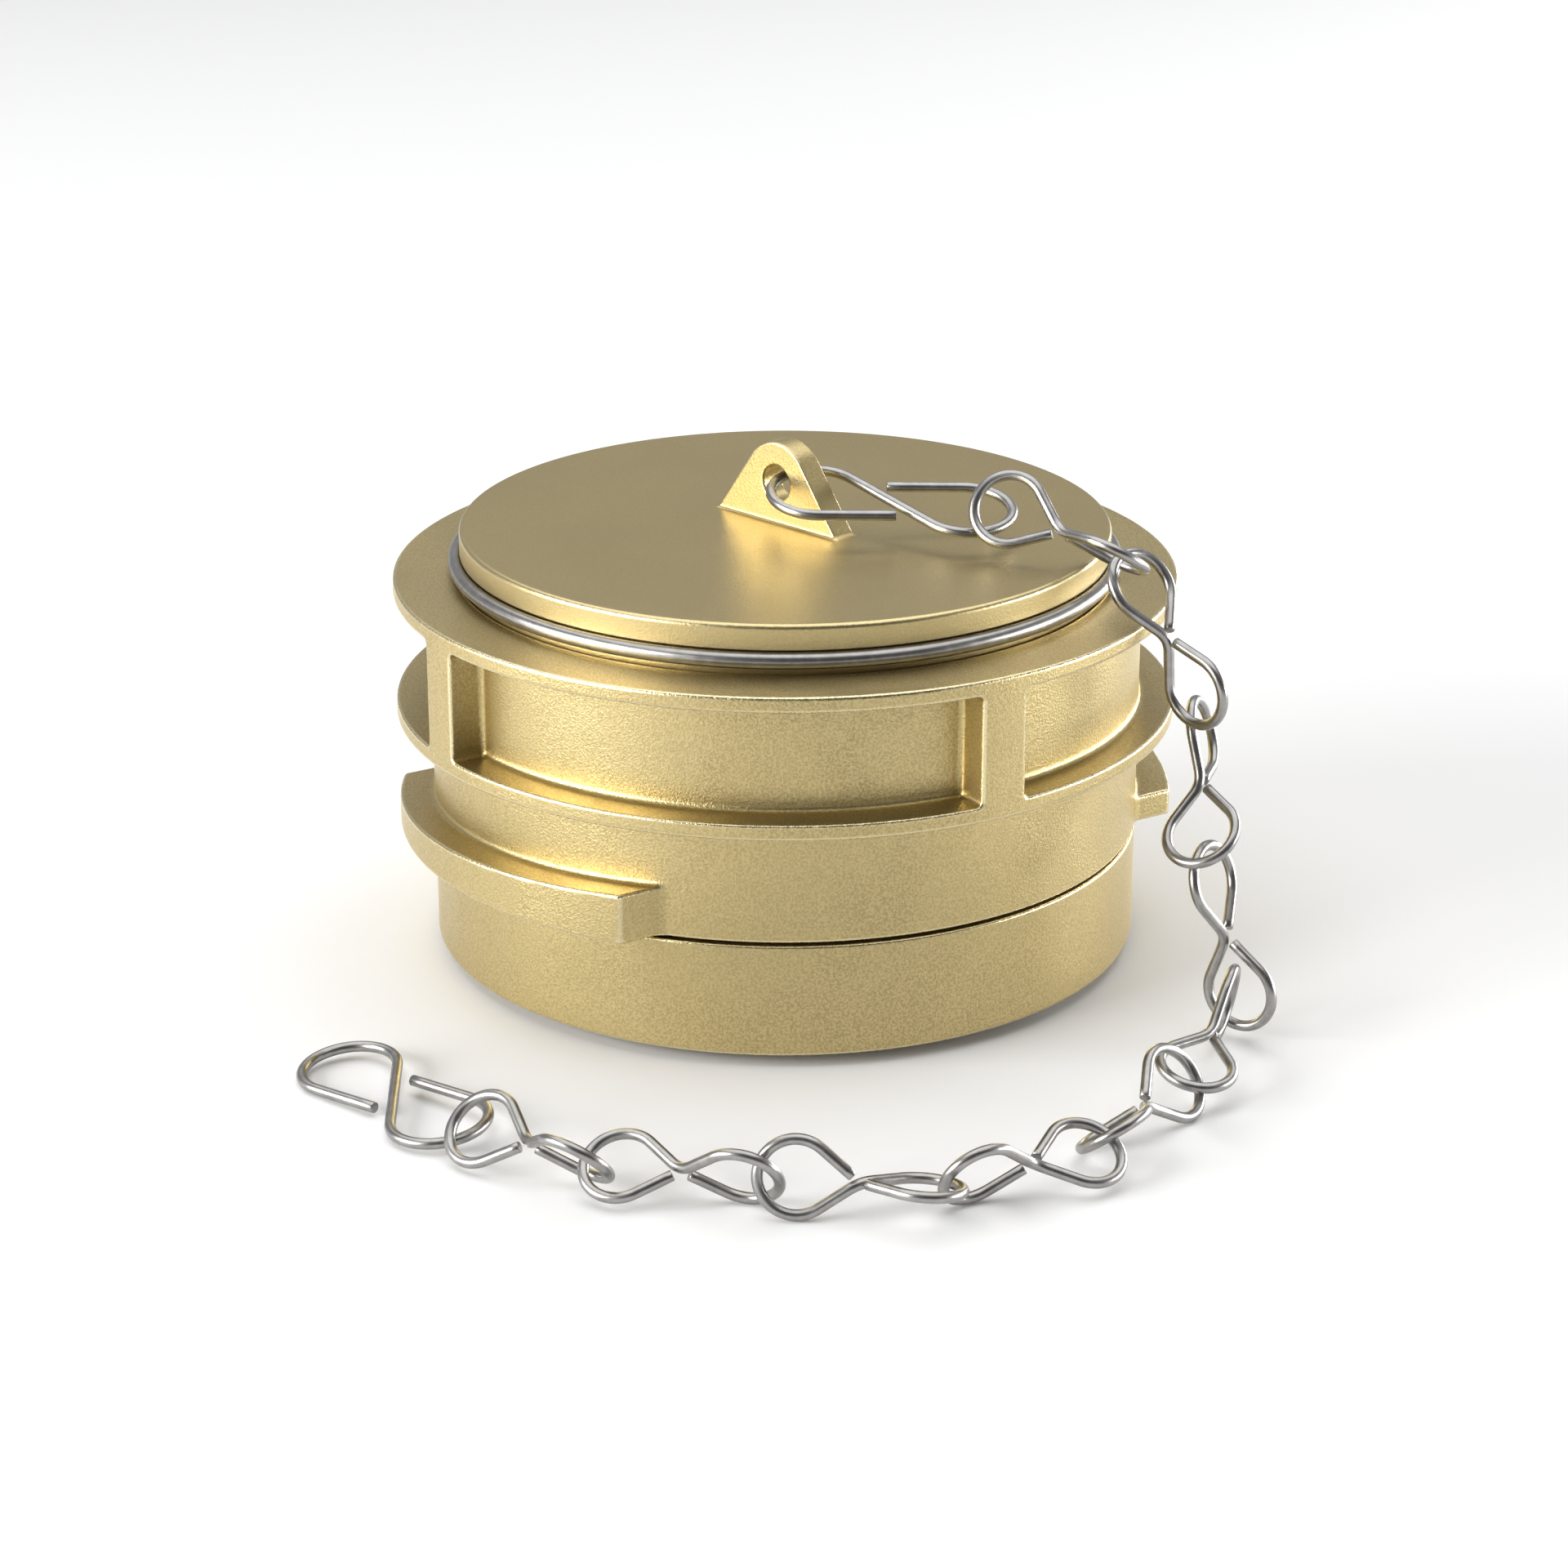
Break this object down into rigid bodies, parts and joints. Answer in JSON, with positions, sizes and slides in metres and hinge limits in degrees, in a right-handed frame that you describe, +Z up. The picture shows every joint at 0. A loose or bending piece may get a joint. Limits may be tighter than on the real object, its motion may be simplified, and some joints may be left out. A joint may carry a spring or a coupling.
{
  "type": "hydrant outlet cap",
  "caption": "Round brass blank cap for a hydrant outlet, with a turning lug ring, a snap ring, a black face seal and a twisted-wire chain ending in a hook.",
  "frame": {"origin": "centre of the cap on the surface it stands on, under the face seal, chain left out", "axes": "+Z up through the disc and the ear, +X along the plate of the chain ear"},
  "size_m": [0.1956, 0.1923, 0.0979],
  "materials": {
    "brass": "satin cast",
    "brass_ring": "satin cast",
    "steel_wire": "drawn wire",
    "chain_wire": "drawn wire",
    "rubber": "matt moulded"
  },
  "bodies": {
    "cap": {"cap_body": "brass", "face_seal": "rubber", "snap_ring": "steel_wire"},
    "lug_ring": {"lug_ring": "brass_ring"},
    "ear_hook": {"ear_hook": "chain_wire"},
    "chain_link_01": {"chain_link_01": "chain_wire"},
    "chain_link_02": {"chain_link_02": "chain_wire"},
    "chain_link_03": {"chain_link_03": "chain_wire"},
    "chain_link_04": {"chain_link_04": "chain_wire"},
    "chain_link_05": {"chain_link_05": "chain_wire"},
    "chain_link_06": {"chain_link_06": "chain_wire"},
    "chain_link_07": {"chain_link_07": "chain_wire"},
    "chain_link_08": {"chain_link_08": "chain_wire"},
    "chain_link_09": {"chain_link_09": "chain_wire"},
    "chain_link_10": {"chain_link_10": "chain_wire"},
    "end_hook": {"end_hook": "chain_wire"}
  },
  "joints": [
    {"name": "lug_ring_turn", "type": "hinge", "parent": "cap", "child": "lug_ring", "pos_m": [0, 0, 0.049], "axis": [0, 0, 1], "continuous": true},
    {"name": "ear_hook_swing", "type": "hinge", "parent": "cap", "child": "ear_hook", "pos_m": [0.0005, -0.0004, 0.0912], "axis": [0, -1, 0], "range_deg": [0, 60]},
    {"name": "chain_link_01_swing", "type": "hinge", "parent": "ear_hook", "child": "chain_link_01", "pos_m": [0.0387, 0.0099, 0.0861], "axis": [-0.5931, -0.8051, 0], "range_deg": [0, 45]},
    {"name": "chain_link_02_swing", "type": "hinge", "parent": "chain_link_01", "child": "chain_link_02", "pos_m": [0.0655, 0.0245, 0.0831], "axis": [0, 0, 1], "range_deg": [0, 20]},
    {"name": "chain_link_03_swing", "type": "hinge", "parent": "chain_link_02", "child": "chain_link_03", "pos_m": [0.0791, 0.0238, 0.0561], "axis": [0, 0, 1], "range_deg": [0, 25]},
    {"name": "chain_link_04_swing", "type": "hinge", "parent": "chain_link_03", "child": "chain_link_04", "pos_m": [0.0903, 0.0123, 0.0341], "axis": [0, 0, 1], "range_deg": [0, 25]},
    {"name": "chain_link_05_swing", "type": "hinge", "parent": "chain_link_04", "child": "chain_link_05", "pos_m": [0.0949, 0.0177, 0.0039], "axis": [0, 0, 1], "range_deg": [0, 20]},
    {"name": "chain_link_06_swing", "type": "hinge", "parent": "chain_link_05", "child": "chain_link_06", "pos_m": [0.1113, -0.0101, 0.0037], "axis": [0, 0, 1], "range_deg": [0, 25]},
    {"name": "chain_link_07_swing", "type": "hinge", "parent": "chain_link_06", "child": "chain_link_07", "pos_m": [0.1155, -0.0405, 0.0068], "axis": [0, 0, 1], "range_deg": [-2, 20]},
    {"name": "chain_link_08_swing", "type": "hinge", "parent": "chain_link_07", "child": "chain_link_08", "pos_m": [0.1056, -0.0697, 0.0041], "axis": [0, 0, 1], "range_deg": [-2, 25]},
    {"name": "chain_link_09_swing", "type": "hinge", "parent": "chain_link_08", "child": "chain_link_09", "pos_m": [0.0847, -0.093, 0.0106], "axis": [0, 0, 1], "range_deg": [-3, 25]},
    {"name": "chain_link_10_swing", "type": "hinge", "parent": "chain_link_09", "child": "chain_link_10", "pos_m": [0.056, -0.1062, 0.0038], "axis": [0, 0, 1], "range_deg": [-3, 25]},
    {"name": "end_hook_swing", "type": "hinge", "parent": "chain_link_10", "child": "end_hook", "pos_m": [0.0296, -0.1134, 0.0032], "axis": [0, 0, 1], "range_deg": [-10, 20]}
  ]
}
